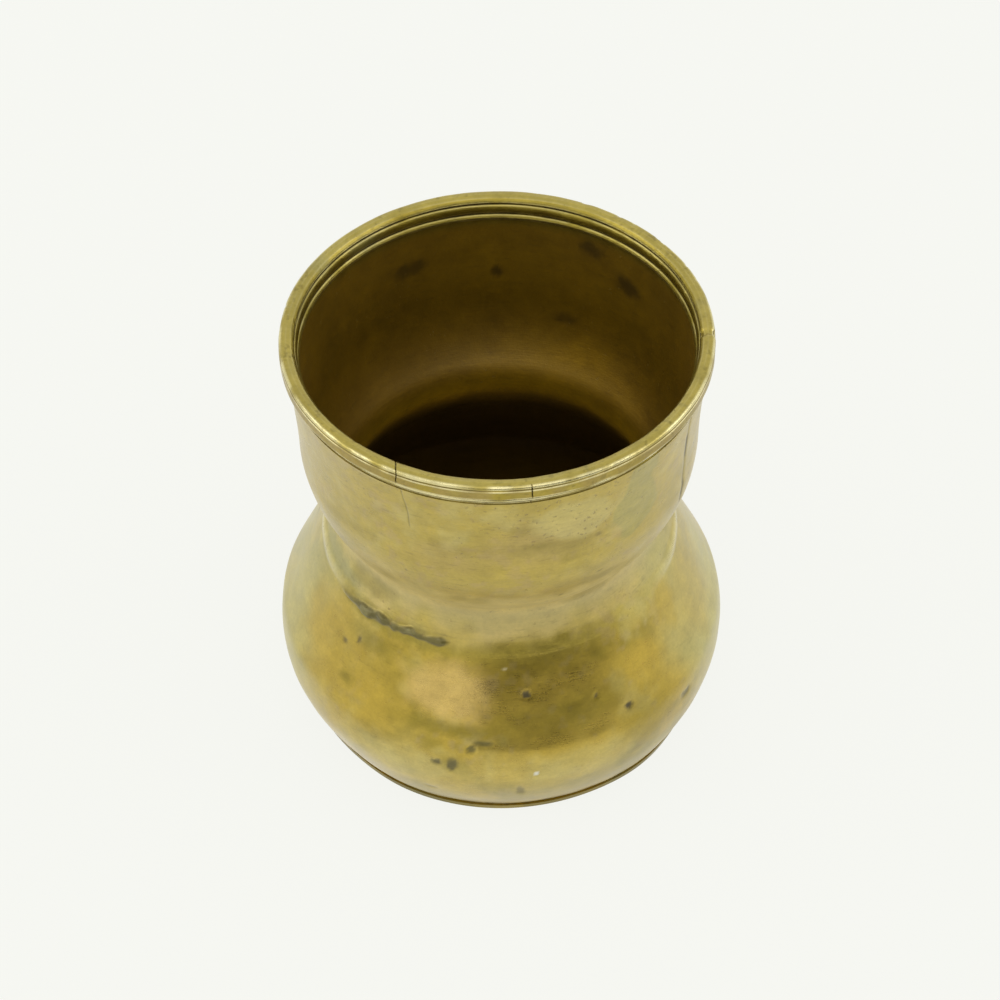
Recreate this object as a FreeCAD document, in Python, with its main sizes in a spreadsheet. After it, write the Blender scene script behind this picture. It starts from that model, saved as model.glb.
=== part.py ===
import FreeCAD, Part
import math
import os
import re
import Sketcher

# Turned brass cup on a flat base: a wide collared mouth, a drawn-in waist and a full belly.
# Millimetres, +Z up. Origin: middle of the base's underside, so the cup stands on Z = 0.

doc = FreeCAD.newDocument("pen_holder_cup")
sheet = doc.addObject("Spreadsheet::Sheet", "sizes")

SIZES = {
    # whole cup
    "cup_height": 90.0,
    "wall_thick": 1.7,
    # base disc, and the solder inside its edge
    "plate_rad": 39.9,
    "plate_thick": 0.9,
    "fillet_reach": 1.2,
    "fillet_rise": 1.2,
    # lower bowl, base disc to neck: belly, shoulder, neck cone
    "foot_rad": 39.4,
    "belly_rad": 26.5,
    "belly_height": 15.9,
    "shoulder_rad": 8.0,
    "neck_rad": 33.9,
    "neck_height": 41.1,
    "neck_lean": 25.8,
    # upper wall: neck cone, waist hollow, flank, slight flare under the collar
    "waist_rad": 5.8,
    "waist_top": 51.3,
    "flank_rad": 25.7,
    "flank_top": 66.3,
    "flare_rad": 156.0,
    "wall_top": 84.9,
    "wall_top_rad": 38.45,
    # waist joint: the gap between bowl and wall, and the bead lapped over it on both faces
    "joint_gap": 0.8,
    "bead_lap": 0.6,
    "bead_proud": 0.35,
    # upright joint in the rolled wall
    "seam_angle": 0.8,
    "seam_azimuth": -27.5,
    # collar: outer face
    "braze_thick": 0.2,
    "braze_recess": 0.1,
    "groove_rad": 38.5,
    "groove_width": 0.35,
    "rib_rad": 38.9,
    "rib_low": 85.6,
    "rib_top": 86.5,
    "band_low": 86.9,
    "band_rad": 39.4,
    "band_top": 89.7,
    # collar: lip and mouth
    "crown_rad": 38.6,
    "lip_outer_round": 1.3,
    "lip_inner_round": 4.6,
    "lip_inner_rad": 37.1,
    "lip_inner_top": 89.75,
    "mouth_groove_rad": 36.7,
    "upper_step_rad": 36.35,
    "upper_step": 88.9,
    "lower_step_rad": 36.0,
    "lower_step": 87.2,
    "step_gap": 0.8,
    "mouth_rad": 35.8,
    "mouth_low": 85.9,
}
for row, (name, value) in enumerate(SIZES.items(), start=1):
    sheet.set("A%d" % row, name)
    sheet.set("B%d" % row, str(value))
    sheet.setAlias("B%d" % row, name)
doc.recompute()

V = FreeCAD.Vector
S = SIZES
START, END, CENTRE = 1, 2, 3
ORIGIN, X_AXIS = -1, -1


def bound(text):
    """Expression text with each size name read from the spreadsheet."""
    return re.sub("[a-z_]+", lambda w: "sizes." + w.group() if w.group() in S else w.group(), text)


def new_body(label, turn=0.0):
    body = doc.addObject("PartDesign::Body", label)
    body.Label = label
    body.Placement = FreeCAD.Placement(V(0, 0, 0), FreeCAD.Rotation(V(0, 0, 1), turn))
    return body


def new_sketch(body, name, role="XZ_Plane"):
    plane = [f for f in body.Origin.OriginFeatures if f.Role == role][0]
    sketch = body.newObject("Sketcher::SketchObject", name)
    sketch.AttachmentSupport = [(plane, "")]
    sketch.MapMode = "FlatFace"
    return sketch


def pin(sketch, kind, refs, text, guess):
    """Add a dimension and drive it from the spreadsheet."""
    made = sketch.addConstraint(Sketcher.Constraint(kind, *refs, guess))
    sketch.setExpression("Constraints[%d]" % made, bound(text))


def pin_point(sketch, geo, end, x=None, z=None):
    at = sketch.getPoint(geo, end)
    if x:
        pin(sketch, "DistanceX", (ORIGIN, START, geo, end), x, at.x)
    if z == "0":
        sketch.addConstraint(Sketcher.Constraint("PointOnObject", geo, end, X_AXIS))
    elif z:
        pin(sketch, "DistanceY", (ORIGIN, START, geo, end), z, at.y)


def join(sketch, first, second, smooth=False):
    kind = "Tangent" if smooth else "Coincident"
    sketch.addConstraint(Sketcher.Constraint(kind, *first, *second))


def turned(body, sketch, angle="360"):
    """Turn a half outline about +Z, centred on the sketch's plane."""
    solid = body.newObject("PartDesign::Revolution", body.Label + "_turned")
    solid.Profile = sketch
    solid.ReferenceAxis = (sketch, ["V_Axis"])
    solid.Midplane = True
    solid.setExpression("Angle", bound(angle))
    body.Tip = solid
    doc.recompute()
    return solid


def outline(sketch, points, bulges=None):
    """Closed outline through (x text, z text, x, z) points.

    Runs are straight, but one that starts at a key of bulges is an arc: its radius text and its
    rise to the left of travel.
    """
    at = [V(p[2], p[3], 0) for p in points]
    starts = []
    for i, a in enumerate(at):
        b = at[(i + 1) % len(at)]
        if bulges and i in bulges:
            left = V(a.y - b.y, b.x - a.x, 0).normalize()
            mid = (a + b) / 2 + left * bulges[i][1]
            sketch.addGeometry(Part.Arc(a, mid, b), False)
            starts.append((i, START, END) if bulges[i][1] < 0 else (i, END, START))
        else:
            sketch.addGeometry(Part.LineSegment(a, b), False)
            starts.append((i, START, END))
    for one, two in zip(starts, starts[1:] + starts[:1]):
        join(sketch, (one[0], one[2]), (two[0], two[1]))
    for (geo, start, end), p in zip(starts, points):
        pin_point(sketch, geo, start, p[0], p[1])
    for i, (text, rise) in (bulges or {}).items():
        pin(sketch, "Radius", (i,), text, sketch.Geometry[i].Radius)


def corners_of(start, heading, runs, offset=0.0):
    """Corners of a smooth chain going up: runs are (signed radius or 0 for a line, end z)."""
    x, z, a = start[0], start[1], heading
    found = [(x - offset * math.sin(a), z + offset * math.cos(a), a)]
    for radius, stop in runs:
        if radius:
            cx, cz = x - radius * math.sin(a), z + radius * math.cos(a)
            a = math.acos((cz - stop) / radius)
            x, z = cx + radius * math.sin(a), stop
        else:
            x, z = x + (stop - z) / math.tan(a), stop
        found.append((x - offset * math.sin(a), z + offset * math.cos(a), a))
    return found


def draw_chain(sketch, corners, radii):
    """Draw a chain; returns each run as (geometry, its lower end, its upper end)."""
    runs = []
    for low, high, radius in zip(corners, corners[1:], radii):
        a, b = V(low[0], low[1], 0), V(high[0], high[1], 0)
        if radius:
            mid_heading = (low[2] + high[2]) / 2
            centre = a + V(-math.sin(low[2]), math.cos(low[2]), 0) * radius
            mid = centre + V(math.sin(mid_heading), -math.cos(mid_heading), 0) * radius
            geo = sketch.addGeometry(Part.Arc(a, mid, b), False)
        else:
            geo = sketch.addGeometry(Part.LineSegment(a, b), False)
        runs.append((geo, END, START) if radius < 0 else (geo, START, END))
    for one, two in zip(runs, runs[1:]):
        join(sketch, (one[0], one[2]), (two[0], two[1]), smooth=True)
    return runs


def draw_shell(sketch, start, heading, runs):
    """Outer and inner faces of a turned wall, a wall thickness apart; the inner arcs share centres."""
    radii = [r for r, stop in runs]
    thick = S["wall_thick"]
    outer = draw_chain(sketch, corners_of(start, heading, runs), radii)
    inner = draw_chain(sketch, corners_of(start, heading, runs, thick), [r and r - thick for r in radii])
    for (out_geo, _, _), (in_geo, _, _), radius in zip(outer, inner, radii):
        if radius:
            sketch.addConstraint(Sketcher.Constraint("Coincident", in_geo, CENTRE, out_geo, CENTRE))
        else:
            sketch.addConstraint(Sketcher.Constraint("Parallel", in_geo, out_geo))
    pin(sketch, "Distance", (inner[0][0], START, outer[0][0]), "wall_thick", thick)
    return outer, inner


def neck_text(z_text):
    """Outer radius of the neck cone at a height."""
    return "neck_rad + (neck_height - (" + z_text + ")) * tan(neck_lean * 1 deg)"


def neck_at(z):
    return S["neck_rad"] + (S["neck_height"] - z) * math.tan(math.radians(S["neck_lean"]))


def arc_text(chord, rise):
    """Radius of an arc from its chord and rise."""
    return "((" + chord + ")^2 / 4 + (" + rise + ")^2) / (2 * (" + rise + "))"


neck_heading = math.radians(90 + S["neck_lean"])
joint_low = "neck_height - joint_gap / 2"
joint_high = "neck_height + joint_gap / 2"
low_z = S["neck_height"] - S["joint_gap"] / 2
high_z = S["neck_height"] + S["joint_gap"] / 2

# Lower bowl
bowl = new_body("lower_bowl")
profile = new_sketch(bowl, "bowl_profile")
belly_drop = S["belly_height"] - S["plate_thick"]
belly_top, shoulder_top = 20.2, 22.4
outer, inner = draw_shell(
    profile, (S["foot_rad"], S["plate_thick"]), math.acos(belly_drop / S["belly_rad"]), [
        (S["belly_rad"], belly_top), (S["shoulder_rad"], shoulder_top), (0, low_z)])
pin_point(profile, outer[0][0], START, "foot_rad", "plate_thick")
pin_point(profile, outer[0][0], CENTRE, z="belly_height")
for run, size in ((outer[0], "belly_rad"), (outer[1], "shoulder_rad")):
    pin(profile, "Radius", (run[0],), size, S[size])
pin(profile, "Angle", (outer[2][0],), "90 deg + neck_lean * 1 deg", neck_heading)
pin_point(profile, outer[2][0], END, neck_text(joint_low), joint_low)
foot_edge = profile.addGeometry(Part.LineSegment(
    profile.getPoint(outer[0][0], START), profile.getPoint(inner[0][0], START)), False)
neck_edge = profile.addGeometry(Part.LineSegment(
    profile.getPoint(outer[2][0], END), profile.getPoint(inner[2][0], END)), False)
for edge, end, (out_geo, in_geo) in ((foot_edge, START, (outer[0][0], inner[0][0])),
                                     (neck_edge, END, (outer[2][0], inner[2][0]))):
    join(profile, (edge, START), (out_geo, end))
    join(profile, (edge, END), (in_geo, end))
    profile.addConstraint(Sketcher.Constraint("Horizontal", edge))
turned(bowl, profile)

# Upper wall: one rolled strip, open along the upright seam; the seam is the strip's missing sliver


def wall_profile(body):
    sketch = new_sketch(body, body.Label + "_profile")
    waist_low = 45.4
    outer, inner = draw_shell(sketch, (neck_at(high_z), high_z), neck_heading, [
        (0, waist_low), (-S["waist_rad"], S["waist_top"]), (S["flank_rad"], S["flank_top"]),
        (-S["flare_rad"], S["wall_top"])])
    pin_point(sketch, outer[0][0], START, neck_text(joint_high), joint_high)
    pin(sketch, "Angle", (outer[0][0],), "90 deg + neck_lean * 1 deg", neck_heading)
    for run, size in ((outer[1], "waist_rad"), (outer[2], "flank_rad"), (outer[3], "flare_rad")):
        pin(sketch, "Radius", (run[0],), size, S[size])
    pin_point(sketch, outer[2][0], outer[2][1], z="waist_top")
    pin_point(sketch, outer[2][0], outer[2][2], z="flank_top")
    pin_point(sketch, outer[3][0], outer[3][2], "wall_top_rad", "wall_top")
    for (out_geo, out_end), (in_geo, in_end) in (
            ((outer[0][0], outer[0][1]), (inner[0][0], inner[0][1])),
            ((outer[3][0], outer[3][2]), (inner[3][0], inner[3][2]))):
        edge = sketch.addGeometry(Part.LineSegment(
            sketch.getPoint(out_geo, out_end), sketch.getPoint(in_geo, in_end)), False)
        join(sketch, (edge, START), (out_geo, out_end))
        join(sketch, (edge, END), (in_geo, in_end))
        sketch.addConstraint(Sketcher.Constraint("Horizontal", edge))
    return sketch


wall = new_body("upper_wall", S["seam_azimuth"] + 180)
turned(wall, wall_profile(wall), "360 - seam_angle")
seam = new_body("wall_seam", S["seam_azimuth"])
turned(seam, wall_profile(seam), "seam_angle")

# Waist joint: solder through the gap, lapped on to both faces of both sheets
solder = new_body("waist_solder")
inset_text = " - wall_thick / cos(neck_lean * 1 deg)"
inset = S["wall_thick"] / math.cos(math.radians(S["neck_lean"]))


def neck_point(z_text, z, inner_face=False):
    x_text = neck_text(z_text) + (inset_text if inner_face else "")
    return (x_text, z_text, neck_at(z) - (inset if inner_face else 0.0), z)


lap_low, lap_high = joint_low + " - bead_lap", joint_high + " + bead_lap"
lap = S["bead_lap"]
bead = arc_text("(joint_gap + 2 * bead_lap) / cos(neck_lean * 1 deg)", "bead_proud")
ring = new_sketch(solder, "waist_solder_profile")
outline(ring, [
    neck_point(lap_low, low_z - lap), neck_point(lap_high, high_z + lap),
    neck_point(joint_high, high_z), neck_point(joint_high, high_z, True),
    neck_point(lap_high, high_z + lap, True), neck_point(lap_low, low_z - lap, True),
    neck_point(joint_low, low_z, True), neck_point(joint_low, low_z)],
    {0: (bead, -S["bead_proud"]), 4: (bead, -S["bead_proud"])})
turned(solder, ring)

# Braze film between the wall and the collar
braze = new_body("rim_braze")
film = new_sketch(braze, "rim_braze_profile")
film_in = ("wall_top_rad - wall_thick + braze_recess", S["wall_top_rad"] - S["wall_thick"] + S["braze_recess"])
film_out = ("wall_top_rad - braze_recess", S["wall_top_rad"] - S["braze_recess"])
film_low = ("wall_top", S["wall_top"])
film_high = ("wall_top + braze_thick", S["wall_top"] + S["braze_thick"])
outline(film, [(x[0], z[0], x[1], z[1]) for x, z in (
    (film_in, film_low), (film_out, film_low), (film_out, film_high), (film_in, film_high))])
turned(braze, film)

# Collar: two fine grooves with a rib between them, a plain band, a rounded lip, and two small
# steps inside the mouth
collar = new_body("rim_band")
section = new_sketch(collar, "rim_band_profile")


def size(name):
    return (name, S[name])


outer_wall = ("wall_top_rad", S["wall_top_rad"])
collar_points = [
    (film_in, film_high),
    (outer_wall, film_high),
    (size("groove_rad"), size("rib_low")),
    (size("groove_rad"), size("rib_top")),
    (size("band_rad"), size("band_low")),
    (size("band_rad"), size("band_top")),
    (size("crown_rad"), size("cup_height")),
    (size("lip_inner_rad"), size("lip_inner_top")),
    (size("mouth_groove_rad"), ("lip_inner_top - groove_width", S["lip_inner_top"] - S["groove_width"])),
    (size("upper_step_rad"), size("upper_step")),
    (size("upper_step_rad"), ("upper_step - groove_width", S["upper_step"] - S["groove_width"])),
    (size("mouth_groove_rad"), ("upper_step - step_gap", S["upper_step"] - S["step_gap"])),
    (size("lower_step_rad"), size("lower_step")),
    (size("lower_step_rad"), ("lower_step - groove_width", S["lower_step"] - S["groove_width"])),
    (size("mouth_rad"), ("lower_step - step_gap", S["lower_step"] - S["step_gap"])),
    (size("mouth_rad"), size("mouth_low")),
]
outline(section, [(x[0], z[0], x[1], z[1]) for x, z in collar_points], {
    2: (arc_text("rib_top - rib_low", "rib_rad - groove_rad"), S["groove_rad"] - S["rib_rad"]),
    5: ("lip_outer_round", -0.1),
    6: ("lip_inner_round", -0.1)})
turned(collar, section)

# Base: a plain disc a little wider than the bowl's edge, and the solder round the inside of the joint
plate = new_body("base_plate")
disc = new_sketch(plate, "base_plate_outline", "XY_Plane")
disc.addGeometry(Part.Circle(V(0, 0, 0), V(0, 0, 1), S["plate_rad"]), False)
disc.addConstraint(Sketcher.Constraint("Coincident", 0, CENTRE, ORIGIN, START))
pin(disc, "Radius", (0,), "plate_rad", S["plate_rad"])
pad = plate.newObject("PartDesign::Pad", "base_plate_pad")
pad.Profile = disc
pad.setExpression("Length", bound("plate_thick"))
plate.Tip = pad


def belly_point(z_text, z):
    """Point on the inner face of the belly."""
    x_text = ("foot_rad - sqrt(belly_rad^2 - (belly_height - plate_thick)^2)"
              " + sqrt((belly_rad - wall_thick)^2 - (belly_height - (" + z_text + "))^2)")
    x = (S["foot_rad"] - math.sqrt(S["belly_rad"] ** 2 - belly_drop ** 2)
         + math.sqrt((S["belly_rad"] - S["wall_thick"]) ** 2 - (S["belly_height"] - z) ** 2))
    return (x_text, z_text, x, z)


foot_joint = new_body("base_solder")
ring = new_sketch(foot_joint, "base_solder_profile")
corner = belly_point("plate_thick", S["plate_thick"])
outline(ring, [
    corner, belly_point("plate_thick + fillet_rise", S["plate_thick"] + S["fillet_rise"]),
    (corner[0] + " - fillet_reach", "plate_thick", corner[2] - S["fillet_reach"], S["plate_thick"])])
turned(foot_joint, ring)

doc.recompute()
bodies = [bowl, wall, seam, solder, braze, collar, plate, foot_joint]
for item in doc.Objects:
    bad = [state for state in item.State if state in ("Invalid", "Error")]
    if bad:
        raise RuntimeError("%s: %s" % (item.Label, bad))
for body in bodies:
    if body.Shape.isNull() or not body.Shape.isValid():
        raise RuntimeError("bad shape: " + body.Label)
os.makedirs("parts", exist_ok=True)
for body in bodies:
    body.Shape.exportStep("parts/%s.step" % body.Label)
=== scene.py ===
import itertools
import math

import bpy
import numpy as np
from mathutils import Matrix, Vector


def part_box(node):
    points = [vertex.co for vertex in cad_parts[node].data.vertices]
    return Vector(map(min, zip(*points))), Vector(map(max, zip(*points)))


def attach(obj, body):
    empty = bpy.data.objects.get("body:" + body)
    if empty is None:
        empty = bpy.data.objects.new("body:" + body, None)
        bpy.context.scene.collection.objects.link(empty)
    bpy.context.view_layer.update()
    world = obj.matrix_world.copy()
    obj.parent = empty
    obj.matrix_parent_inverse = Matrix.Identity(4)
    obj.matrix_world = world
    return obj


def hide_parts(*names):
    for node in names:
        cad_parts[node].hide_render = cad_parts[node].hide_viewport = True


# Old turned brass cup, used as a pen holder. Blender works in metres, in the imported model's frame:
# the cup stands on Z = 0 and its front faces -Y. The tables here are in millimetres and degrees;
# azimuths are measured from the front and grow towards +X.
#
# Each piece is a closed section turned through a list of azimuths. Its relief and its colour are
# worked out point by point from smooth noise and from tables of marks, and its shader adds what is
# finer than the mesh.

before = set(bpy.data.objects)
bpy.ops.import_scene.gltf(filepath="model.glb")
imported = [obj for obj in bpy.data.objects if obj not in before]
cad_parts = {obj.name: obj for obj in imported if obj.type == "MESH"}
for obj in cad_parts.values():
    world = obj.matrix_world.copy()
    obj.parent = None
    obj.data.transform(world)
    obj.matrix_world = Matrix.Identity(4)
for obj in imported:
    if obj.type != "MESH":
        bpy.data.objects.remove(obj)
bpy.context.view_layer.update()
MM = 0.001

# ---------------------------------------------------------------- camera
VIEW_AIM = (0.1, 0.0, 45.4)      # point looked at
VIEW_ELEVATION = 46.6            # above level
VIEW_DISTANCE = 471.6
VIEW_ROLL = -0.86
LENS = 88.0                      # focal length on a sensor this wide
SENSOR = 36.0


def place_camera():
    lift = math.radians(VIEW_ELEVATION)
    back = Vector((0, -math.cos(lift), math.sin(lift)))
    camera = bpy.data.objects.new("camera", bpy.data.cameras.new("camera"))
    bpy.context.scene.collection.objects.link(camera)
    camera.data.lens = LENS
    camera.data.sensor_width = SENSOR
    camera.data.clip_start, camera.data.clip_end = 0.01, 20.0
    camera.location = (Vector(VIEW_AIM) + back * VIEW_DISTANCE) * MM
    level = (-back).to_track_quat("-Z", "Y").to_matrix()
    roll = Matrix.Rotation(math.radians(VIEW_ROLL), 3, "Z")
    camera.rotation_mode = "QUATERNION"
    camera.rotation_quaternion = (level @ roll).to_quaternion()
    bpy.context.scene.camera = camera
    bpy.context.scene.view_settings.view_transform = "Standard"


place_camera()

# ---------------------------------------------------------------- sizes shared by the pieces
WALL = 1.7                       # thickness of wall and bowl
NECK = (33.9, 41.1)              # radius and height of one point on the neck's outer face
NECK_LEAN = math.radians(25.8)   # of the neck cone, off upright
NECK_DEPTH = WALL / math.cos(NECK_LEAN)     # thickness of the neck, measured level
BRAZE = (84.9, 85.1)             # heights of the braze line under the collar
BRAZE_RADII = (36.85, 38.35)
BAND_RADIUS = 39.4               # the collar's band, its widest part
DISC = (39.9, 0.9)               # base disc: radius and thickness
FOOT_RINGS = (9.0, 21.5, 33.0)   # radii of the rings scored under the base
SOLDER_FILM = (39.3, 42.4)       # heights that the solder of the waist joint covers
SOLDER_HEIGHT = 40.7             # of its lumps
SOLDER_RUN = (-63.0, -16.0)      # azimuths where it stands out in lumps
JOINT_EDGE = (54, 72)            # azimuths each side where the joint's raised edge fades in
SEAM = 63.0                      # azimuth of the upright joint in the upper wall
SEAM_ANGLE = 0.8
# Cracks in the collar: azimuth on the band, radius it starts at on the lip, lean in degrees per mm
CRACKS = {-26.6: (36.5, 0.75), 8.2: (38.7, 0.10)}
# Thin dark lines down the wall: ends as (azimuth, height), half width, and depth
HAIRLINE = ((-25.8, 84.9), (-24.6, 75.0)), 0.22, 0.06
SEAM_LINE = ((SEAM - 0.3, 84.9), (SEAM + 0.3, 62.0)), 0.7, 0.12
bowl_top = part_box("lower_bowl")[1].z / MM
wall_low, wall_top = (corner.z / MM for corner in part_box("upper_wall"))

# Outer faces, going up: radius, height, and radius of the arc that leads there
# (+ swells outwards, - hollows, 0 is straight).
BOWL_FACE = [
    (39.4, 0.9, 0),         # edge on the base disc
    (43.68, 20.2, 26.5),    # belly
    (42.98, 22.4, 8.0),     # shoulder
]
WALL_FACE = [
    (31.83, 45.4, 0),       # neck cone
    (32.4, 51.3, -5.8),     # waist
    (37.3, 66.3, 25.7),     # flank
    (38.45, 84.9, -156.0),  # flare under the collar
]
# The collar's whole section, from its foot round the band and lip and down the inside of the mouth
COLLAR = [
    (36.85, 85.1, 0), (38.3, 85.1, 0), (38.35, 85.55, 0),
    (38.4, 86.35, 0.42),                                    # rib
    (38.35, 86.85, 0), (39.25, 86.95, 0), (39.4, 87.1, 0.2),  # groove and the band's lower arris
    (39.38, 88.9, 0), (39.18, 89.08, 0), (39.3, 89.24, 0),  # band and the fine line under the lip
    (38.9, 89.86, 0.62),                                    # lip arris
    (38.0, 90.0, 3.0), (37.1, 89.75, 3.2),                  # lip crown
    (36.75, 89.38, 0), (36.55, 89.0, 0), (36.8, 88.6, 0),   # groove in the mouth
    (36.4, 88.4, 0.5), (36.12, 87.3, 2.0),                  # upper step
    (36.1, 87.0, 0), (36.45, 86.55, 0),                     # groove under it
    (36.0, 86.3, 0.5), (35.8, 85.9, 0), (35.8, 85.5, 0),    # lower step
    (36.85, 85.1, 0)]


def neck_radius(height):
    """Outer radius of the straight cone between the belly's shoulder and the waist."""
    return NECK[0] + (NECK[1] - height) * math.tan(NECK_LEAN)


# ---------------------------------------------------------------- numbers on the surface
def noise(points, size, seed):
    """Smooth value noise from -1 to 1, in lumps about size across. Each seed is its own field."""
    cells = points / size
    base = np.floor(cells).astype(np.int64)
    part = cells - base
    part = part * part * (3 - 2 * part)
    total = np.zeros(len(points))
    for corner in itertools.product((0, 1), repeat=3):
        key = base + np.array(corner)
        mixed = (key @ np.array([73856093, 19349663, 83492791]) + seed * 2654435761) & 0xFFFFFFFF
        mixed = ((mixed ^ (mixed >> 15)) * 2246822519) & 0xFFFFFFFF
        mixed = ((mixed ^ (mixed >> 13)) * 3266489917) & 0xFFFFFFFF
        total += (mixed / 2 ** 31 - 1) * np.prod(np.where(corner, part, 1 - part), axis=1)
    return total


def smooth(low, high, value):
    """0 at low, 1 at high, eased between them. With low above high it falls instead."""
    t = np.clip((value - low) / (high - low), 0, 1)
    return t * t * (3 - 2 * t)


def azimuth_of(points):
    """Degrees from the front, growing towards +X."""
    return np.degrees(np.arctan2(points[:, 0], -points[:, 1]))


def away(angles, middle):
    """Degrees from middle, the short way round."""
    return (angles - middle + 180) % 360 - 180


def spot(points, azimuth, height, wide, tall, edge, seed):
    """Mask of a ragged ellipse on the surface: half sizes in mm, edge is the soft share of them."""
    across = np.radians(away(azimuth_of(points), azimuth)) * np.hypot(points[:, 0], points[:, 1])
    up = points[:, 2] - height
    mask = np.zeros(len(points))
    near = (abs(across) < 2.2 * wide) & (abs(up) < 2.2 * tall)
    size = min(wide, tall)
    across, up, points = across[near], up[near], points[near]
    for k, (lump, depth) in enumerate(((1.1, 0.40), (0.4, 0.22))):
        across = across + depth * size * noise(points, size * lump, seed + k)
        up = up + depth * size * noise(points, size * lump, seed + k + 50)
    mask[near] = 1 - smooth(1 - edge, 1 + edge, np.hypot(across / wide, up / tall))
    return mask


def trace(points, ends, width, seed):
    """Mask of a thin wandering line between two (azimuth, height) ends, half width in mm."""
    (az_1, z_1), (az_2, z_2) = ends
    share = (points[:, 2] - z_1) / (z_2 - z_1)
    middle = az_1 + (az_2 - az_1) * np.clip(share, 0, 1)
    across = np.radians(away(azimuth_of(points), middle)) * np.hypot(points[:, 0], points[:, 1])
    across = across + 0.3 * noise(points * np.array([0, 0, 1]), 2.3, seed)
    line = smooth(width, width * 0.25, abs(across))
    return line * smooth(-0.03, 0.03, share) * smooth(1.03, 0.97, share)


# ---------------------------------------------------------------- shape of the handwork
def hand_shape(points):
    """How far the vessel is out of round at each point, in mm outwards: shared by all pieces."""
    az = np.radians(azimuth_of(points))
    z = points[:, 2]
    flat_left = np.exp(-(away(np.degrees(az), -48) / 18) ** 2) * smooth(14, 6, z)
    full_right = np.exp(-(away(np.degrees(az), 42) / 14) ** 2) * smooth(6, 1, z)
    return (0.08 * np.cos(2 * az - 0.6) * smooth(0, 30, z)
            + 0.10 * noise(points, 26.0, 3) + 0.05 * noise(points, 11.0, 4)
            - 0.55 * flat_left + 0.45 * full_right)


def crack_mask(points, width):
    """The two cracks in the collar: each climbs the band and runs in over the lip."""
    radius = np.hypot(points[:, 0], points[:, 1])
    mask = np.zeros(len(points))
    for azimuth, (start, lean) in CRACKS.items():
        middle = azimuth - lean * (BAND_RADIUS - radius)
        across = np.radians(away(azimuth_of(points), middle)) * radius
        across = across + 0.12 * noise(points * np.array([0.3, 0.3, 1]), 0.8, 70)
        crack = smooth(width, width * 0.3, abs(across)) * smooth(start, start + 0.3, radius)
        mask = np.maximum(mask, crack)
    return mask * smooth(86.3, 86.8, points[:, 2])


def pitting(points, inside):
    """How corroded the face is: the shader digs small pits there."""
    z = points[:, 2]
    area = 0.6 * smooth(81.5, 84, z + noise(points, 4.0, 76)) * smooth(86, 85, z)
    area = area + spot(points, 14, 79.5, 12.0, 5.5, 0.6, 77)
    area = area + 0.6 * spot(points, 26, 77.0, 6.0, 3.5, 0.4, 78)
    area = area + 0.5 * smooth(0.25, 0.8, noise(points, 8.0, 79)) * smooth(38, 44, z)
    return np.clip(area, 0, 1) * (1 - inside)


def joint_edge(points):
    """Where the bowl's mouth stands proud of the neck, round the sides and the back."""
    line = SOLDER_HEIGHT + 0.1 + 0.15 * noise(points, 5.0, 98)
    sides = smooth(*JOINT_EDGE, abs(azimuth_of(points)))
    return sides * smooth(1.25, 0.1, abs(points[:, 2] - line))


def solder_run(points):
    """How much each point is within the run's length, and how far it is below the run's line."""
    az = azimuth_of(points)
    first, last = SOLDER_RUN
    line = SOLDER_HEIGHT + 0.035 * (az + 40) + 0.35 * noise(points, 3.0, 91)
    return smooth(first, first + 15, az) * smooth(last, last - 4, az), line - points[:, 2]


def solder_smear(points):
    """Thin film of solder along the run, wider above it than below."""
    stretch, below = solder_run(points)
    ragged = below + 0.5 * noise(points, 2.6, 99)
    return stretch * smooth(-2.2, -0.4, ragged) * smooth(1.0, 0.2, ragged)


def solder_lumps(points):
    """The beaded run of solder along the waist joint: 0 on the bare neck, 1 on its crests."""
    az = azimuth_of(points)
    stretch, below = solder_run(points)
    beads = 0.58 + 0.16 * np.cos(2 * np.pi * (az / 7.0 + 0.8 * noise(points, 5.0, 88)))
    beads = beads + 0.40 * noise(points, 2.8, 89) + 0.20 * noise(points, 1.1, 92)
    beads = stretch * np.clip(beads, 0.2, 1)
    return beads * smooth(1, 0.2, abs(below) / (0.6 + 0.8 * beads))


# Relief of each piece, in mm outwards from its own face
def collar_relief(points, inside):
    """Uneven turning, fine nicks in patches, one notch in the lip, and the two cracks."""
    notch = spot(points, 88.0, 89.7, 0.9, 0.9, 0.5, 71)
    nicks = smooth(0.35, 0.85, noise(points, 1.3, 72)) * smooth(0.0, 0.6, noise(points, 7.0, 73))
    return (0.035 * noise(points, 2.4, 74) + 0.03 * noise(points, 5.5, 75)
            - 0.10 * nicks - 0.35 * notch - 0.28 * crack_mask(points, 0.12))


def wall_relief(points, inside):
    """Shallow waves, one patch a little proud and one a little low, and the two thin lines."""
    outside = 1 - inside
    proud = spot(points, 21, 78.0, 8.0, 4.5, 0.08, 80)
    low = spot(points, 38.5, 75.5, 4.2, 8.5, 0.08, 81)
    lines = (HAIRLINE[2] * trace(points, *HAIRLINE[:2], 61)
             + SEAM_LINE[2] * trace(points, *SEAM_LINE[:2], 62))
    free = smooth(SOLDER_FILM[1], 46, points[:, 2])
    return (free * (0.05 * noise(points, 7.5, 82) + 0.02 * noise(points, 3.0, 83))
            + outside * (0.04 * (proud - low) - lines))


def bowl_relief(points, inside):
    """Shallow waves, and a dent under each small dark mark."""
    free = smooth(SOLDER_FILM[0], 35, points[:, 2])
    dents = sum(spot(points, azimuth, z, wide, tall, 0.5, STAIN_SEED + 7 * i)
                for i, (name, azimuth, z, wide, tall, _, _) in enumerate(STAINS_AND_PAINTED_LIGHT)
                if name in ("soot", "lead_and_shade"))
    return free * (0.09 * noise(points, 8.0, 86) + 0.04 * noise(points, 3.4, 87)
                   - 0.12 * (1 - inside) * dents)


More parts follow.
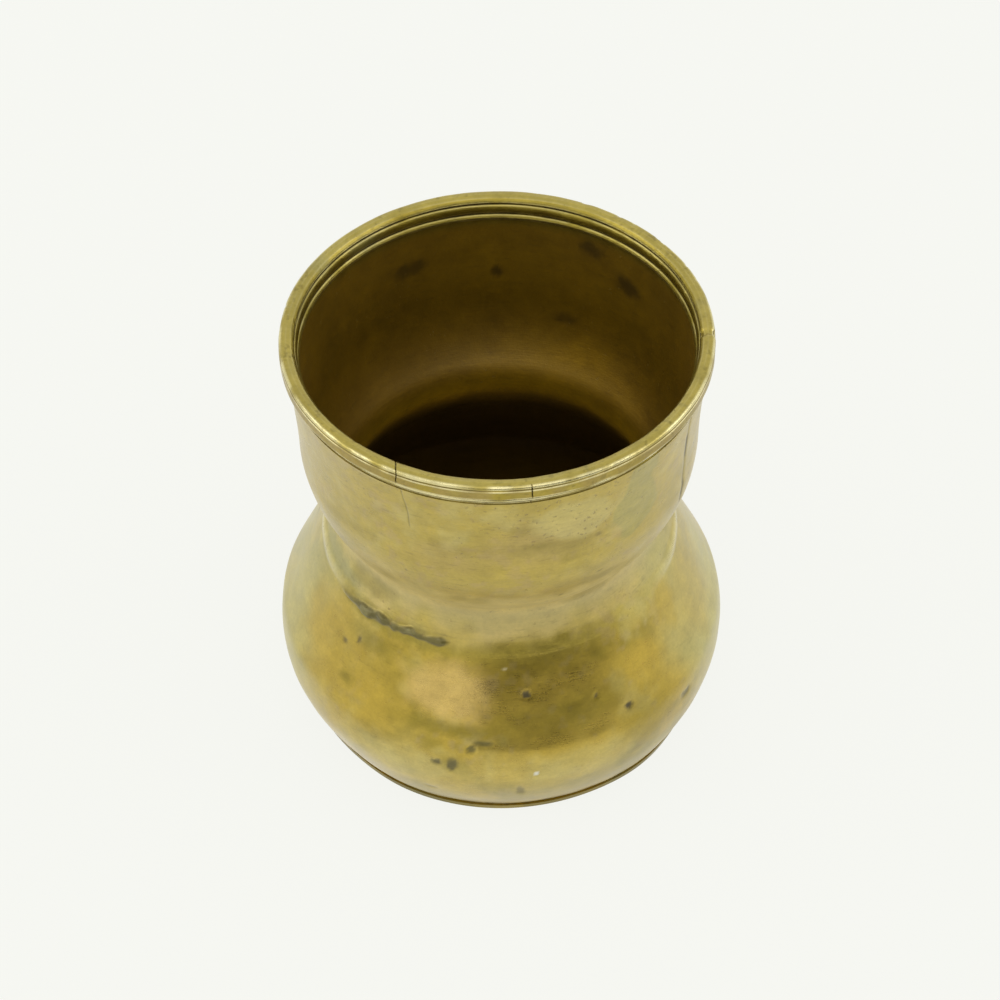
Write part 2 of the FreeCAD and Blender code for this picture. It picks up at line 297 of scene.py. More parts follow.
def solder_relief(points, inside):
    """Lumps on the left of the front, and a raised edge round the sides and the back."""
    return (0.85 * solder_lumps(points) + 0.24 * joint_edge(points)) * (1 - inside)


def foot_rings(points):
    """Three scored rings and the lathe's centre mark under the foot."""
    radius = np.hypot(points[:, 0], points[:, 1])
    rings = sum(smooth(0.9, 0.2, abs(radius - score)) for score in FOOT_RINGS)
    return smooth(0.3, 0.0, points[:, 2]) * (rings + smooth(1.8, 0.4, radius))


def plate_relief(points, inside):
    """Turning lines and the scored rings underneath, and an uneven rim."""
    turning = 1 + np.sin(2 * np.pi * np.hypot(points[:, 0], points[:, 1]) / 1.8)
    return (0.03 * noise(points, 6.0, 90) * smooth(0.2, 0.7, points[:, 2])
            - 0.015 * turning * smooth(0.3, 0.0, points[:, 2]) - 0.10 * foot_rings(points))


# ---------------------------------------------------------------- patina, and painted light and shade
# Each finish, or painted light or shade: linear colour, metallic share, roughness
FINISHES_AND_PAINTED_LIGHT = {
    "brass": ((0.455, 0.343, 0.055), 0.90, 0.32),
    # warm gold of the bowl, partly its own tone and partly painted reflection
    "gold_and_reflection": ((0.472, 0.328, 0.040), 0.92, 0.30),
    "pale": ((0.54, 0.455, 0.155), 0.90, 0.32),
    "tan": ((0.43, 0.315, 0.105), 0.90, 0.36),
    # coppery finish, bright enough to stand for a painted highlight
    "copper_and_highlight": ((0.65, 0.455, 0.135), 0.95, 0.26),
    "olive": ((0.23, 0.178, 0.012), 0.88, 0.36),
    # matt finish whose pale tone is painted light, laid in the shaded hollow of the waist
    "dull_with_painted_light": ((0.56, 0.435, 0.145), 0.18, 0.60),
    "slate": ((0.385, 0.330, 0.085), 0.90, 0.36),
    "moss": ((0.30, 0.270, 0.105), 0.50, 0.60),
    # bright bare metal of worn edges, also used as a painted highlight on the waist joint's edge
    "rubbed_and_highlight": ((0.80, 0.72, 0.40), 1.00, 0.20),
    # dark grey of the solder and the small marks, also used as painted shade along the base disc
    "lead_and_shade": ((0.118, 0.099, 0.023), 0.65, 0.46),
    # pale hazy finish, used as painted sheen at the two sides of the bowl
    "haze": ((0.50, 0.46, 0.185), 0.75, 0.42),
    "soot": ((0.045, 0.036, 0.012), 0.40, 0.60),
    "brown": ((0.225, 0.130, 0.0015), 0.75, 0.50),
    # painted glow: these two warm tones stand for the light that comes in at the mouth and lights
    # the waist inside
    "amber_painted_glow": ((0.36, 0.212, 0.001), 0.55, 0.58),
    "ember_painted_glow": ((0.62, 0.365, 0.003), 0.30, 0.65),
    "umber": ((0.085, 0.062, 0.012), 0.60, 0.50),
    # near black of the marks inside, also used as painted shade in the belly
    "black": ((0.010, 0.005, 0.0005), 0.85, 0.70),
    "green": ((0.22, 0.225, 0.115), 0.40, 0.60),
    "white": ((0.75, 0.73, 0.60), 0.10, 0.60),
}
STAIN_SEED, INNER_SEED = 100, 600
# Stains and patches of painted light on the outside: finish, azimuth, height, half width, half
# height, strength, edge. Later ones lie over earlier ones, and a mark's place in the list sets its
# ragged outline.
STAINS_AND_PAINTED_LIGHT = [
    # broad zones of the wall and the waist
    # painted light: a pale matt band lightens the hollow of the waist, which faces down and would
    # otherwise lie in shade
    ("dull_with_painted_light", 0, 50.5, 90.0, 7.0, 0.92, 0.5),
    ("moss", -68, 43.0, 9.0, 1.7, 0.80, 0.5),
    ("olive", -50, 45.5, 7.0, 2.0, 0.55, 0.5),
    ("olive", 72, 44.6, 7.0, 2.0, 0.40, 0.5),
    ("moss", 5, 46.5, 30.0, 2.2, 0.30, 0.5),
    ("olive", -9, 55.9, 3.4, 1.6, 0.35, 0.5),
    ("olive", 31.5, 49.2, 5.0, 1.3, 0.40, 0.5),
    ("olive", 30, 58.3, 4.5, 1.3, 0.35, 0.5),
    ("tan", 12, 74.0, 9.0, 6.0, 0.55, 0.6),
    ("tan", -14, 68.0, 7.0, 4.0, 0.40, 0.6),
    ("olive", 6, 77.0, 2.2, 1.2, 0.35, 0.6),
    ("olive", 11, 72.6, 3.0, 1.0, 0.35, 0.6),
    ("olive", 20, 68.0, 2.4, 1.4, 0.30, 0.6),
    ("umber", 9.5, 79.6, 0.7, 0.5, 0.55, 0.5),
    ("umber", 11.5, 78.8, 0.9, 0.35, 0.55, 0.5),
    ("umber", 27.5, 71.5, 0.8, 0.4, 0.45, 0.5),
    ("umber", 18.0, 55.5, 0.45, 0.35, 0.60, 0.5),
    ("umber", 29.0, 60.5, 0.6, 0.3, 0.50, 0.5),
    ("slate", 40.5, 76.0, 6.0, 9.5, 0.80, 0.06),
    ("pale", 21, 78.0, 8.0, 4.5, 0.60, 0.25),
    ("olive", 14, 71.5, 9.0, 1.6, 0.30, 0.5),
    # broad zones of the bowl
    # painted sheen: pale zones at the two sides of the bowl, where it turns away from the front,
    # stand for the whitish sheen along its outline
    ("haze", -86, 24.0, 19.0, 24.0, 0.70, 0.7),
    ("haze", 84, 24.0, 18.0, 24.0, 0.80, 0.7),
    ("pale", -10, 12.0, 34.0, 9.0, 0.33, 0.6),
    # partly painted reflection: the gold patches round the bowl's shoulder stand for golden light
    # thrown back from the brass above, over the bowl's own tone
    ("gold_and_reflection", -57, 30.0, 9.0, 8.0, 0.80, 0.6),
    ("gold_and_reflection", -37.5, 27.5, 8.0, 6.0, 0.70, 0.6),
    ("gold_and_reflection", 74, 33.0, 12.0, 9.0, 0.50, 0.6),
    ("olive", 16, 38.6, 15.0, 3.4, 0.24, 0.5),
    ("olive", 24, 28.4, 6.5, 2.7, 0.42, 0.7),
    ("gold_and_reflection", 44, 31.5, 5.0, 3.2, 0.80, 0.5),
    ("gold_and_reflection", 60, 36.0, 3.6, 4.2, 0.60, 0.5),
    ("olive", 8, 26.5, 15.0, 2.6, 0.28, 0.5),
    ("gold_and_reflection", 12, 33.5, 6.0, 2.4, 0.45, 0.6),
    ("olive", -15, 25.6, 8.0, 1.4, 0.60, 0.6),
    ("olive", -38, 36.0, 7.0, 2.0, 0.45, 0.6),
    ("olive", -37, 40.1, 12.0, 1.5, 0.60, 0.50),
    # partly painted highlight: a coppery patch on the shoulder, its hue partly the metal's own and
    # its brightness a painted reflection
    ("copper_and_highlight", -15.5, 32.4, 8.4, 4.8, 0.85, 0.45),
    ("moss", -20, 4.5, 9.0, 3.6, 0.35, 0.6),
    ("moss", 12, 7.0, 10.0, 4.5, 0.40, 0.6),
    ("moss", 38, 9.0, 12.0, 7.0, 0.50, 0.6),
    ("olive", 40, 19.0, 7.0, 6.0, 0.45, 0.6),
    ("pale", -30, 14.0, 10.0, 5.0, 0.45, 0.6),
    ("pale", 20, 17.0, 9.0, 4.0, 0.38, 0.6),
    # small dark marks and one white speck
    ("soot", 6.6, 32.6, 0.95, 0.75, 0.95, 0.35),
    ("soot", 34.7, 24.9, 0.85, 0.7, 0.90, 0.35),
    ("soot", -51.4, 32.4, 0.7, 0.5, 0.60, 0.5),
    ("soot", -46.6, 34.5, 0.5, 0.8, 0.65, 0.5),
    ("olive", -46.6, 26.5, 1.6, 1.2, 0.60, 0.6),
    ("lead_and_shade", -16.9, 18.0, 0.9, 0.7, 0.90, 0.4),
    ("lead_and_shade", -12.8, 18.0, 1.0, 1.6, 0.95, 0.4),
    ("lead_and_shade", -8.0, 22.3, 0.9, 0.8, 0.85, 0.4),
    ("lead_and_shade", -5.0, 23.6, 1.9, 0.7, 0.85, 0.4),
    ("lead_and_shade", 4.1, 10.5, 0.8, 1.5, 0.60, 0.5),
    ("soot", 26.3, 29.3, 0.5, 0.4, 0.70, 0.5),
    ("lead_and_shade", 54.1, 17.7, 1.6, 0.9, 0.70, 0.5),
    ("white", 8.3, 16.1, 0.45, 0.5, 0.95, 0.4),
    ("white", 0.8, 37.6, 0.4, 0.2, 0.35, 0.5),
    ("lead_and_shade", -19.0, 8.5, 1.2, 0.5, 0.45, 0.5),
    # collar
    ("soot", 23.0, 89.9, 0.30, 0.3, 0.70, 0.5),
    ("soot", 21.0, 89.2, 0.35, 0.4, 0.70, 0.5),
    ("soot", 58.2, 89.9, 0.35, 0.3, 0.55, 0.5),
    ("soot", 50.5, 89.9, 0.30, 0.3, 0.50, 0.5),
    ("green", -120, 89.6, 2.4, 1.4, 0.65, 0.5),
    ("green", -137, 87.6, 3.6, 1.6, 0.70, 0.5),
]
# The same on the inner faces, where 180 is the back
INNER_STAINS_AND_GLOW = [
    # painted glow: the two amber patches on the back wall stand for light coming in at the mouth
    ("amber_painted_glow", 153, 54.0, 15.0, 5.0, 0.55, 0.6),
    ("amber_painted_glow", 165, 68.0, 22.0, 9.0, 0.25, 0.7),
    ("black", -152.5, 76.6, 3.4, 1.5, 0.55, 0.5),
    ("black", 179.7, 72.4, 1.1, 1.2, 0.60, 0.5),
    ("black", 149.6, 81.4, 2.6, 1.6, 0.60, 0.5),
    ("black", 135.6, 76.6, 2.8, 2.0, 0.65, 0.5),
    ("black", 157.6, 62.7, 2.2, 1.1, 0.45, 0.5),
]


def patina_and_painted_light(points, inside, start, worn=0.0, grimy=0.0):
    """Colour, metallic share and roughness of each point, painted light and shade included,
    built up in layers over one finish.
    worn and grimy are how much each point stands out as an edge or lies in a groove."""
    tone = np.tile(np.array(FINISHES_AND_PAINTED_LIGHT[start][0]), (len(points), 1))
    metal = np.full(len(points), FINISHES_AND_PAINTED_LIGHT[start][1])
    rough = np.full(len(points), FINISHES_AND_PAINTED_LIGHT[start][2])
    outside = 1.0 - inside
    height = points[:, 2]
    radius = np.hypot(points[:, 0], points[:, 1])
    bowl = smooth(41, 37, height)
    rim = smooth(BRAZE[0], BRAZE[0] + 0.1, height)
    band = smooth(86.8, 87.0, height) * smooth(89.2, 89.0, height) * smooth(38.9, 39.1, radius)
    disc_edge_shade = smooth(1.05, 0.85, height) * smooth(39.3, 39.7, radius)

    def lay(name, mask):
        """Cover what is there with one entry of the finishes, painted light included, as far as the
        mask says.
        """
        colour, metallic, roughness = FINISHES_AND_PAINTED_LIGHT[name]
        tone[:] = tone * (1 - mask[:, None]) + np.array(colour) * mask[:, None]
        metal[:] = metal * (1 - mask) + metallic * mask
        rough[:] = rough * (1 - mask) + roughness * mask

    # bare brass, mottled
    flecks = noise(points, 1.6, 37) + 0.7 * noise(points, 0.8, 38) + 0.8 * noise(points, 7.0, 39)
    blotch = noise(points, 9.0, 31) + 0.6 * noise(points, 3.6, 32) + 0.35 * noise(points, 1.5, 35)
    haze = noise(points, 8.0, 33) + 0.6 * noise(points, 3.0, 34) + 0.3 * noise(points, 1.3, 36)
    # the gold over the bowl is partly its own tone and partly painted reflection from the brass
    # above
    lay("gold_and_reflection", outside * bowl * 0.85)
    lay("olive", outside * (0.25 + 0.35 * bowl) * smooth(0.05, 1.0, blotch))
    lay("tan", outside * (1 - rim) * 0.55 * smooth(0.3, 1.1, flecks))
    lay("pale", outside * (0.5 - 0.1 * bowl) * smooth(0.0, 1.0, haze))
    for i, (name, azimuth, z, wide, tall, strength, edge) in enumerate(STAINS_AND_PAINTED_LIGHT):
        mark = spot(points, azimuth, z, wide, tall, edge, STAIN_SEED + 7 * i)
        lay(name, outside * strength * mark)

    # hairline and upright seam
    lay("lead_and_shade", outside * 0.42 * trace(points, *HAIRLINE[:2], 61))
    broken = 0.3 + 0.7 * smooth(-0.5, 0.1, noise(points, 3.0, 63))
    lay("soot", outside * trace(points, *SEAM_LINE[:2], 62) * broken * 0.8)

    # collar
    lay("tan", outside * band * 0.85 * smooth(-0.9, 0.2, noise(points, 2.5, 68)))
    specks = noise(points, 0.9, 93) + 0.7 * noise(points, 0.45, 94) + 0.4 * noise(points, 6.0, 95)
    lay("pale", outside * rim * (1 - band) * smooth(36.9, 37.3, radius) * 0.5)
    lay("umber", outside * rim * 0.4 * smooth(0.7, 1.05, specks))
    lay("olive", outside * rim * 0.34)
    lay("olive", smooth(37.2, 36.8, radius) * rim * 0.45)

    # underside, and the solder at the waist
    lay("olive", smooth(0.5, 0.1, height) * 0.6 * smooth(-0.6, 0.8, noise(points, 12.0, 96)))
    lumps = solder_lumps(points)
    # partly painted highlight: the joint's raised edge is laid in bright rubbed metal, partly wear
    # and partly a painted highlight along it
    lay("rubbed_and_highlight", outside * 0.40 * joint_edge(points))
    lay("lead_and_shade", outside * 0.45 * solder_smear(points))
    lay("lead_and_shade", outside * np.clip(2.6 * lumps, 0, 0.9))
    lay("moss", outside * 0.45 * smooth(0.45, 0.85, lumps + 0.45 * noise(points, 2.0, 55)))
    lay("umber", 0.7 * foot_rings(points) * smooth(-1.0, 0.2, noise(points, 7.0, 97)))

    # inside: brown at the top, a painted amber glow in the waist, and black in the belly, partly
    # dirt and partly painted shade
    lay("brown", inside)
    # painted light: a lighter band at the top of the inside, just below the mouth, where more light
    # reaches
    lay("olive", inside * smooth(83.0, 84.4, height) * 0.7)
    # painted glow: amber, then brighter ember, towards the waist inside, where light from the mouth
    # reaches
    lay("amber_painted_glow", inside * 0.70 * smooth(53, 48, height + 1.5 * noise(points, 11.0, 67)))
    lay("ember_painted_glow", inside * 0.85 * smooth(50, 45, height))
    for i, (name, azimuth, z, wide, tall, strength, edge) in enumerate(INNER_STAINS_AND_GLOW):
        mark = spot(points, azimuth, z, wide, tall, edge, INNER_SEED + 7 * i)
        lay(name, inside * strength * mark)
    # painted shade: the belly darkens to black below the waist, partly dirt and partly the shade
    # that falls inside it
    lay("black", inside * smooth(49, 39, height + 1.5 * noise(points, 9.0, 64)) * 0.81)

    # cracks, grooves, worn edges, and painted shade along the edge of the base disc
    lay("soot", crack_mask(points, 0.13) * 0.9)
    lay("umber", grimy * 0.95 * smooth(-1.1, -0.1, noise(points, 4.0, 65)))
    touched = worn * (0.25 + 0.75 * smooth(37, 38, radius))
    lay("rubbed_and_highlight", touched * smooth(-0.9, 0.3, noise(points, 3.0, 66)) * 0.8)
    # painted shade: a dark grey line along the edge of the base disc stands for the shade where the
    # cup meets the floor
    lay("lead_and_shade", outside * disc_edge_shade * (0.6 + 0.25 * noise(points, 9.0, 56)))
    tone *= 1 + 0.16 * (inside * noise(points, 9.0, 69))[:, None]
    grain = 1 + 0.06 * noise(points * np.array([1, 1, 5]), 6.0, 40) + 0.05 * noise(points, 2.2, 41)
    tone *= grain[:, None]
    return tone, metal, rough


# ---------------------------------------------------------------- mesh making
def run(start, end, bulge, step):
    """Points from start to end, without start, on a line or an arc of radius bulge."""
    a, b = np.array(start, float), np.array(end, float)
    chord = b - a
    length = math.hypot(*chord)
    if bulge:
        radius = max(abs(bulge), length / 2)
        left = np.array([-chord[1], chord[0]]) / length
        side = 1 if bulge > 0 else -1
        centre = (a + b) / 2 + side * left * math.sqrt(radius ** 2 - length ** 2 / 4)
        first = math.atan2(*(a - centre)[::-1])
        sweep = (math.atan2(*(b - centre)[::-1]) - first + math.pi) % (2 * math.pi) - math.pi
        count = max(3, round(abs(sweep) * radius / step))
        turns = first + sweep * np.arange(1, count + 1) / count
        return centre + radius * np.stack([np.cos(turns), np.sin(turns)], 1)
    count = max(1, round(length / step))
    return a + chord * (np.arange(1, count + 1) / count)[:, None]


def path(stations, step):
    """Points through stations (radius, height, bulge of the run that leads there)."""
    points = [np.array([stations[0][:2]], float)]
    for low, high in zip(stations, stations[1:]):
        points.append(run(points[-1][-1], high[:2], high[2], step))
    return np.concatenate(points)


def shell(face, step):
    """Closed section of a sheet: up its outer face, then down the inner one. Returns it with the
    share of each point that is inside."""
    outer = path(face, step)
    inner = path(face, step * 1.8)
    tangent = np.gradient(inner, axis=0)
    tangent /= np.linalg.norm(tangent, axis=1)[:, None]
    inner += WALL * np.stack([-tangent[:, 1], tangent[:, 0]], 1)
    inner[0, 1], inner[-1, 1] = outer[0, 1], outer[-1, 1]
    return np.concatenate([outer, inner[::-1]]), np.repeat([0.0, 1.0], [len(outer), len(inner)])


def corners(section):
    """How much each point of a closed section stands out as an edge, and how much it lies in a
    groove."""
    ahead, behind = np.roll(section, -1, 0) - section, section - np.roll(section, 1, 0)
    cross = behind[:, 0] * ahead[:, 1] - behind[:, 1] * ahead[:, 0]
    turn = np.arctan2(cross, (behind * ahead).sum(1))
    bend = turn / (0.5 * (np.linalg.norm(ahead, axis=1) + np.linalg.norm(behind, axis=1)) + 1e-6)
    bend = 0.5 * bend + 0.25 * (np.roll(bend, 1) + np.roll(bend, -1))
    return smooth(0.4, 1.8, bend), smooth(-0.25, -1.2, bend)


def around(count, start=0.0, sweep=360.0, fine=()):
    """Azimuths to turn a section through, much closer together near each of the fine ones."""
    steps = start + sweep * np.arange(count + (sweep < 360)) / count
    for azimuth in fine:
        azimuth += 360 * math.ceil((start - azimuth) / 360)
        coarse = steps[abs(steps - azimuth) > 2.05]
        steps = np.concatenate([coarse, azimuth + np.linspace(-2, 2, 33)])
    return np.unique(steps)


def turned(name, section, inside, azimuths, node, slot, start="brass", closed=True, relief=None,
           crisp=False):
    """Turn a closed section through the azimuths as a piece that stands for a CAD node. inside says
    which points of the section are on inner faces. A piece that isn't closed stops at the first and
    last azimuths, and a crisp one has bright worn edges and dark grooves."""
    rings, count = len(azimuths), len(section)
    a = np.radians(np.repeat(azimuths, count))
    radial = np.stack([np.sin(a), -np.cos(a), np.zeros(len(a))], 1)
    points = radial * np.tile(section[:, 0], rings)[:, None]
    points[:, 2] = np.tile(section[:, 1], rings)
    inside = np.tile(inside, rings)
    along = np.roll(section, -1, 0) - np.roll(section, 1, 0)
    along /= np.linalg.norm(along, axis=1)[:, None] + 1e-9
    normal = radial * np.tile(along[:, 1], rings)[:, None]
    normal[:, 2] = -np.tile(along[:, 0], rings)
    edges = (np.tile(share, rings) for share in corners(section)) if crisp else ()
    tone, metal, rough = patina_and_painted_light(points, inside, start, *edges)
    shaped = points + radial * hand_shape(points)[:, None]
    if relief:
        shaped += normal * relief(points, inside)[:, None]

    i = np.arange(rings if closed else rings - 1)[:, None]
    j = np.arange(count)[None, :]
    near, far = i * count, (i + 1) % rings * count
    quads = np.stack([near + j, far + j, far + (j + 1) % count, near + (j + 1) % count], -1)
    faces = quads.reshape(-1, 4).tolist()
    if not closed:
        faces.append(list(range(count)))
        faces.append([(rings - 1) * count + k for k in reversed(range(count))])
    mesh = bpy.data.meshes.new(name)
    mesh.from_pydata((shaped * MM).tolist(), [], faces)
    mesh.update()
    mesh.shade_smooth()
    mesh.set_sharp_from_angle(angle=math.radians(40))
    rgba = np.concatenate([np.clip(tone, 0, 1), np.ones((len(tone), 1))], 1)
    state = np.stack([metal, rough, pitting(points, inside)], 1)
    for label, kind, field, values in (("tone", "FLOAT_COLOR", "color", rgba),
                                       ("state", "FLOAT_VECTOR", "vector", state)):
        attribute = mesh.attributes.new(label, kind, "POINT")
        attribute.data.foreach_set(field, values.astype(np.float32).ravel())
    mesh.materials.append(MATERIALS[slot])
    piece = bpy.data.objects.new(name, mesh)
    bpy.context.scene.collection.objects.link(piece)
    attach(piece, "root")
    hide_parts(node)


# ---------------------------------------------------------------- materials
class Graph:
    """Short calls for a shader tree. Inputs are numbers, colours or other nodes' outputs."""

    def __init__(self, material):
        material.use_nodes = True
        self.tree = material.node_tree
        self.shader = self.tree.nodes["Principled BSDF"]

    def add(self, kind, inputs, output=0, **settings):
        node = self.tree.nodes.new("ShaderNode" + kind)
        for key, value in settings.items():
            setattr(node, key, value)
        for key, value in inputs.items():
            self.feed(node.inputs[key], value)
        return node.outputs[output]

    def feed(self, socket, value):
        if isinstance(value, bpy.types.NodeSocket):
            self.tree.links.new(value, socket)
        else:
            socket.default_value = value

    def math(self, operation, a, b=0.0, c=0.0):
        return self.add("Math", {0: a, 1: b, 2: c}, operation=operation)

    def noise(self, vector, scale, detail, rough=0.55):
        settings = {"Vector": vector, "Scale": scale, "Detail": detail, "Roughness": rough}
        return self.add("TexNoise", settings)

    def step(self, value, low, high):
        """0 below low, 1 above high, smooth between."""
        return self.add("MapRange", {0: value, 1: low, 2: high, 3: 0.0, 4: 1.0},
                        interpolation_type="SMOOTHSTEP")

    def stretch(self, vector, factors):
        return self.add("VectorMath", {0: vector, 1: factors}, operation="MULTIPLY")

    def blend(self, factor, a, b):
        return self.add("Mix", {0: factor, 6: a, 7: b}, output=2, data_type="RGBA")


def brass(name, pits=0.4, lines=0.5, relief=0.5, mottle=0.34, lacquer=0.45, film=0.28):
    """Aged brass whose colour and finish come from the mesh, with the fine detail added here. pits,
    lines and mottle are how strong that detail is, and relief is its bump. lacquer and film are the
    weight and roughness of the coat over it."""
    material = bpy.data.materials.new(name)
    g = Graph(material)
    place = g.add("TexCoord", {}, output="Object")
    mm = g.add("VectorMath", {0: place, 3: 1000.0}, operation="SCALE")
    tone = g.add("Attribute", {}, output="Color", attribute_name="tone")
    state = g.add("Attribute", {}, output="Vector", attribute_name="state")
    metal, rough, pitted = g.add("SeparateXYZ", {0: state}).node.outputs

    # clouding, specks, turning lines, slanted scratches and short dashes
    cloud = g.noise(mm, 0.28, 5.0, 0.72)
    speck = g.noise(mm, 1.7, 3.0, 0.6)
    line = g.noise(g.stretch(mm, (0.12, 0.12, 4.2)), 1.0, 3.0, 0.65)
    tilt = g.add("VectorRotate", {"Vector": mm, "Angle": 0.5}, rotation_type="X_AXIS")
    scratch = g.noise(g.stretch(tilt, (0.25, 0.25, 6.0)), 1.0, 2.0, 0.5)
    dash = g.noise(g.stretch(mm, (0.35, 0.35, 1.8)), 1.0, 2.0, 0.6)

    # ragged pits: lone ones in patches, and crowds where the mesh says so
    wobble = g.add("TexNoise", {"Vector": mm, "Scale": 1.3, "Detail": 2.0}, output="Color")
    bent = g.add("VectorMath", {0: wobble, 1: (1.5, 1.5, 1.5), 2: mm}, operation="MULTIPLY_ADD")
    hole, crowd = (
        g.add("TexVoronoi", {"Vector": bent, "Scale": scale, "Randomness": 1.0}, output="Distance")
        for scale in (0.55, 0.85))
    lone = g.math("MULTIPLY", g.step(hole, 0.17, 0.08), g.step(g.noise(mm, 0.12, 2.0), 0.50, 0.62))
    eaten = g.math("MULTIPLY", g.step(crowd, 0.34, 0.16), g.step(g.noise(mm, 0.9, 2.0), 0.42, 0.54))
    holes = g.math("MAXIMUM", lone, g.math("MULTIPLY", eaten, pitted))
    pit_mask = g.math("MULTIPLY", holes, pits)

    # colour and roughness
    shade = g.math("MULTIPLY_ADD", cloud, mottle, 1 - mottle / 2)
    shade = g.math("MULTIPLY", shade, g.math("MULTIPLY_ADD", line, 0.32 * lines, 1 - 0.16 * lines))
    dashes = g.math("MULTIPLY_ADD", g.step(dash, 0.58, 0.72), -0.28 * lines, 1.0)
    shade = g.math("MULTIPLY", shade, dashes)
    specks = g.math("MULTIPLY_ADD", speck, 0.5 * mottle, 1 - 0.25 * mottle)
    shade = g.math("MULTIPLY", shade, specks)
    colour = g.add("VectorMath", {0: tone, 3: shade}, operation="SCALE")
    colour = g.blend(pit_mask, colour, (0.20, 0.13, 0.02, 1))
    grit = g.math("MULTIPLY_ADD", g.math("SUBTRACT", cloud, 0.5), 0.25, rough)
    grit = g.math("MULTIPLY_ADD", g.math("SUBTRACT", scratch, 0.5), 0.12, grit)

    # height for the bump
    height = g.math("MULTIPLY_ADD", line, 0.5 * lines, g.math("MULTIPLY", cloud, 0.9))
    height = g.math("MULTIPLY_ADD", scratch, 0.18, height)
    height = g.math("MULTIPLY_ADD", speck, 0.12, height)
    height = g.math("SUBTRACT", height, g.math("MULTIPLY", holes, 0.6 * pits))
    bump = g.add("Bump", {"Height": height, "Strength": relief, "Distance": 0.00025})

    bare = g.math("SUBTRACT", metal, g.math("MULTIPLY", pit_mask, 0.5))
    g.feed(g.shader.inputs["Base Color"], colour)
    g.feed(g.shader.inputs["Metallic"], bare)
    g.feed(g.shader.inputs["Roughness"], grit)
    g.feed(g.shader.inputs["Normal"], bump)
    g.shader.inputs["Coat Weight"].default_value = lacquer
    g.shader.inputs["Coat Roughness"].default_value = film
    return material


MATERIALS = {
    "collar_brass": brass("turned_collar", pits=0.5, mottle=0.6, lacquer=0.15),
    "wall_brass": brass("aged_wall", pits=0.6, mottle=0.5, lacquer=0.6, film=0.42),
    "bowl_brass": brass("aged_bowl", pits=0.08, lines=0.3, relief=0.18, mottle=0.55, lacquer=0.4),
    "plate_brass": brass("aged_plate", lines=0.8),
    "seam_braze": brass("dark_seam"),
    "rim_braze": brass("dark_line", lacquer=0.0),
    "waist_solder": brass("grey_solder", lines=0.1, mottle=0.6, lacquer=0.4),
    "base_solder": brass("foot_solder", lines=0.1),
}

# ---------------------------------------------------------------- pieces
section, inside = shell(BOWL_FACE + [(neck_radius(bowl_top), bowl_top, 0)], 0.5)
turned("bowl_shell", section, inside, around(600), "lower_bowl", "bowl_brass", relief=bowl_relief)

# The upper wall stops at each side of the seam strip, which fills the gap
hairline = HAIRLINE[0][0][0] + 0.6          # azimuth of its middle
section, inside = shell([(neck_radius(wall_low), wall_low, 0)] + WALL_FACE, 0.45)
turned("wall_shell", section, inside,
       around(560, SEAM + SEAM_ANGLE / 2, 360 - SEAM_ANGLE, fine=(hairline,)),
       "upper_wall", "wall_brass", closed=False, relief=wall_relief)
turned("seam_strip", section, inside, around(6, SEAM - SEAM_ANGLE / 2, SEAM_ANGLE),
       "wall_seam", "seam_braze", closed=False, relief=wall_relief)

# The solder is a film over both sheets, outside and in, that fills the gap between them
bead_low, bead_high = bowl_top - 1.3, wall_low + 0.9


def on_neck(height, depth=0.0, bulge=0):
    return neck_radius(height) - depth, height, bulge


bead_arc = 36.0                             # radius of its outer and inner faces
section = path([
    on_neck(bead_low), on_neck(bead_high, bulge=bead_arc),
    on_neck(wall_low), on_neck(wall_low, NECK_DEPTH),
    on_neck(bead_high, NECK_DEPTH), on_neck(bead_low, NECK_DEPTH, bead_arc),
    on_neck(bowl_top, NECK_DEPTH), on_neck(bowl_top)], 0.2)
inside = (section[:, 0] < neck_radius(section[:, 1]) - NECK_DEPTH / 2) * 1.0
turned("waist_bead", section, inside, around(700), "waist_solder", "waist_solder",
       relief=solder_relief)

(braze_in, braze_out), (braze_low, braze_high) = BRAZE_RADII, BRAZE
section = path([(braze_in, braze_low, 0), (braze_out, braze_low, 0), (braze_out, braze_high, 0),
                (braze_in, braze_high, 0)], 0.2)
turned("braze_line", section, np.zeros(len(section)), around(300), "rim_braze", "rim_braze",
       start="umber")

section = path(COLLAR, 0.15)[:-1]
turned("collar", section, np.zeros(len(section)), around(800, fine=CRACKS),
       "rim_band", "collar_brass", relief=collar_relief, crisp=True)

disc_radius, disc_thick = DISC
pinhole = 0.01                              # left at the axis, so that every face has an area
section = path([(pinhole, 0.0, 0), (disc_radius, 0.0, 0), (disc_radius, disc_thick, 0),
                (pinhole, disc_thick, 0)], 0.45)
inside = (section[:, 1] > 0.5) * (section[:, 0] < BOWL_FACE[0][0] - WALL - 0.2) * 1.0
turned("base_disc", section, inside, around(500), "base_plate", "plate_brass", relief=plate_relief)

# It lies in the corner between the disc and the bowl's inner face
section = path([(37.2, disc_thick, 0), (38.1, 2.1, 0), (36.0, disc_thick, 0)], 0.3)[:-1]
turned("foot_fillet", section, np.ones(len(section)), around(300), "base_solder", "base_solder")


# ---------------------------------------------------------------- floor and light
WHITE = (0.922, 0.930, 0.888)    # of the backdrop


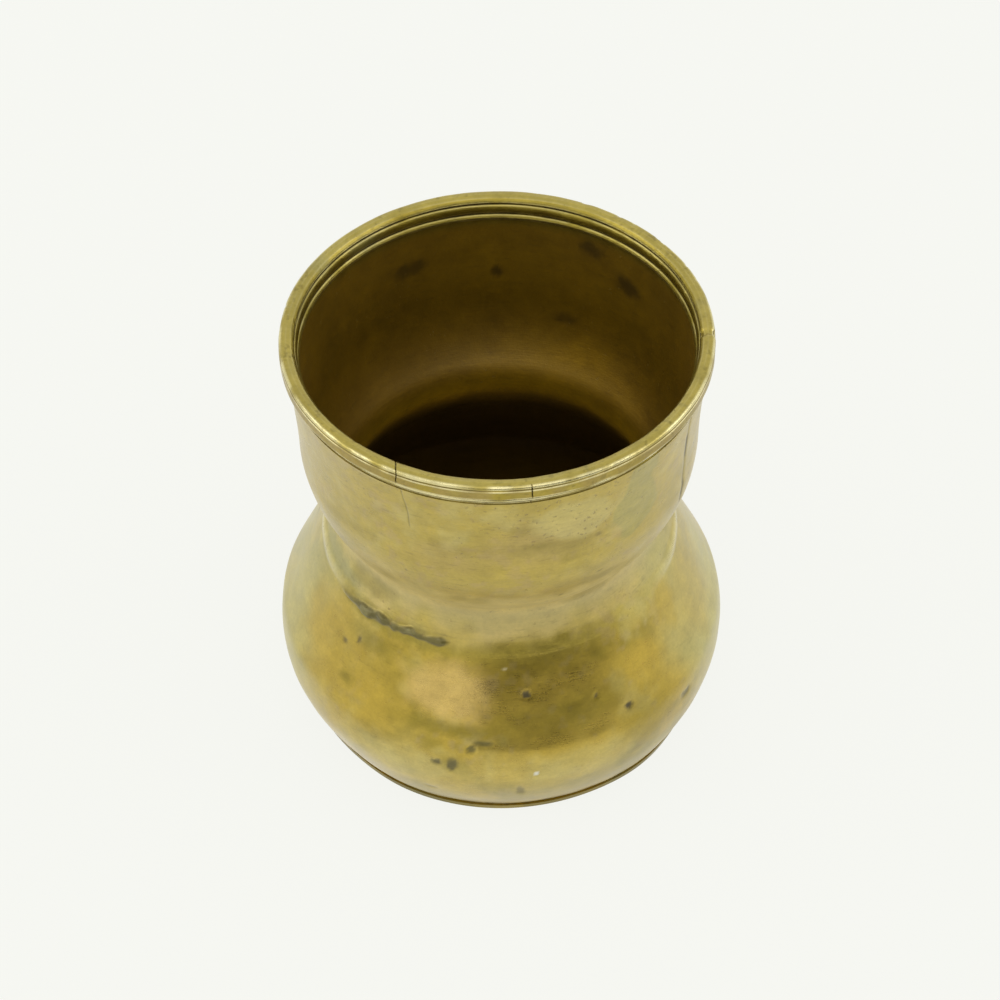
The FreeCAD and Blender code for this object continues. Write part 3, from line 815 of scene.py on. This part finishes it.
def panel(name, width, height, place, aim, glow):
    """A flat card that the camera doesn't see: a softbox, or a dark flag where glow is 0."""
    mesh = bpy.data.meshes.new(name)
    w, h = width / 2, height / 2
    mesh.from_pydata([(-w, -h, 0), (w, -h, 0), (w, h, 0), (-w, h, 0)], [], [(0, 1, 2, 3)])
    card = bpy.data.objects.new(name, mesh)
    bpy.context.scene.collection.objects.link(card)
    card.location = place
    card.rotation_euler = (Vector(aim) - Vector(place)).to_track_quat("Z", "Y").to_euler()
    card.visible_camera = False
    material = bpy.data.materials.new(name)
    g = Graph(material)
    g.shader.inputs["Base Color"].default_value = (0.02, 0.02, 0.02, 1)
    g.shader.inputs["Roughness"].default_value = 1.0
    g.shader.inputs["Specular IOR Level"].default_value = 0.0
    g.shader.inputs["Emission Color"].default_value = (1, 1, 1, 1)
    g.shader.inputs["Emission Strength"].default_value = glow
    mesh.materials.append(material)


def studio():
    """Pale paper in a pale world, three softboxes, and a dark flag low in front."""
    floor = bpy.data.objects.new("floor", bpy.data.meshes.new("floor"))
    reach, low = 3, -0.0002
    floor.data.from_pydata([(-reach, -reach, low), (reach, -reach, low), (reach, reach, low),
                            (-reach, reach, low)], [], [(0, 1, 2, 3)])
    bpy.context.scene.collection.objects.link(floor)
    paper = bpy.data.materials.new("paper")
    g = Graph(paper)
    g.shader.inputs["Base Color"].default_value = (0.06, 0.06, 0.057, 1)
    g.shader.inputs["Roughness"].default_value = 0.9
    g.shader.inputs["Specular IOR Level"].default_value = 0.0
    g.shader.inputs["Emission Color"].default_value = (*WHITE, 1)
    g.shader.inputs["Emission Strength"].default_value = 0.93
    floor.data.materials.append(paper)

    panel("softbox_left", 0.9, 0.7, (-1.05, -0.15, 0.75), (0, 0, 0.05), 2.2)
    panel("softbox_right", 0.9, 0.7, (1.05, -0.15, 0.75), (0, 0, 0.05), 2.2)
    panel("softbox_front", 1.1, 0.8, (0.0, -0.80, 1.15), (0, 0, 0.06), 1.5)
    panel("flag_front", 0.9, 0.32, (0.25, -0.6, 0.10), (0, 0, 0.05), 0.0)

    world = bpy.data.worlds.new("studio")
    bpy.context.scene.world = world
    world.use_nodes = True
    background = world.node_tree.nodes["Background"]
    background.inputs["Color"].default_value = (*WHITE, 1)
    background.inputs["Strength"].default_value = 1.0


studio()
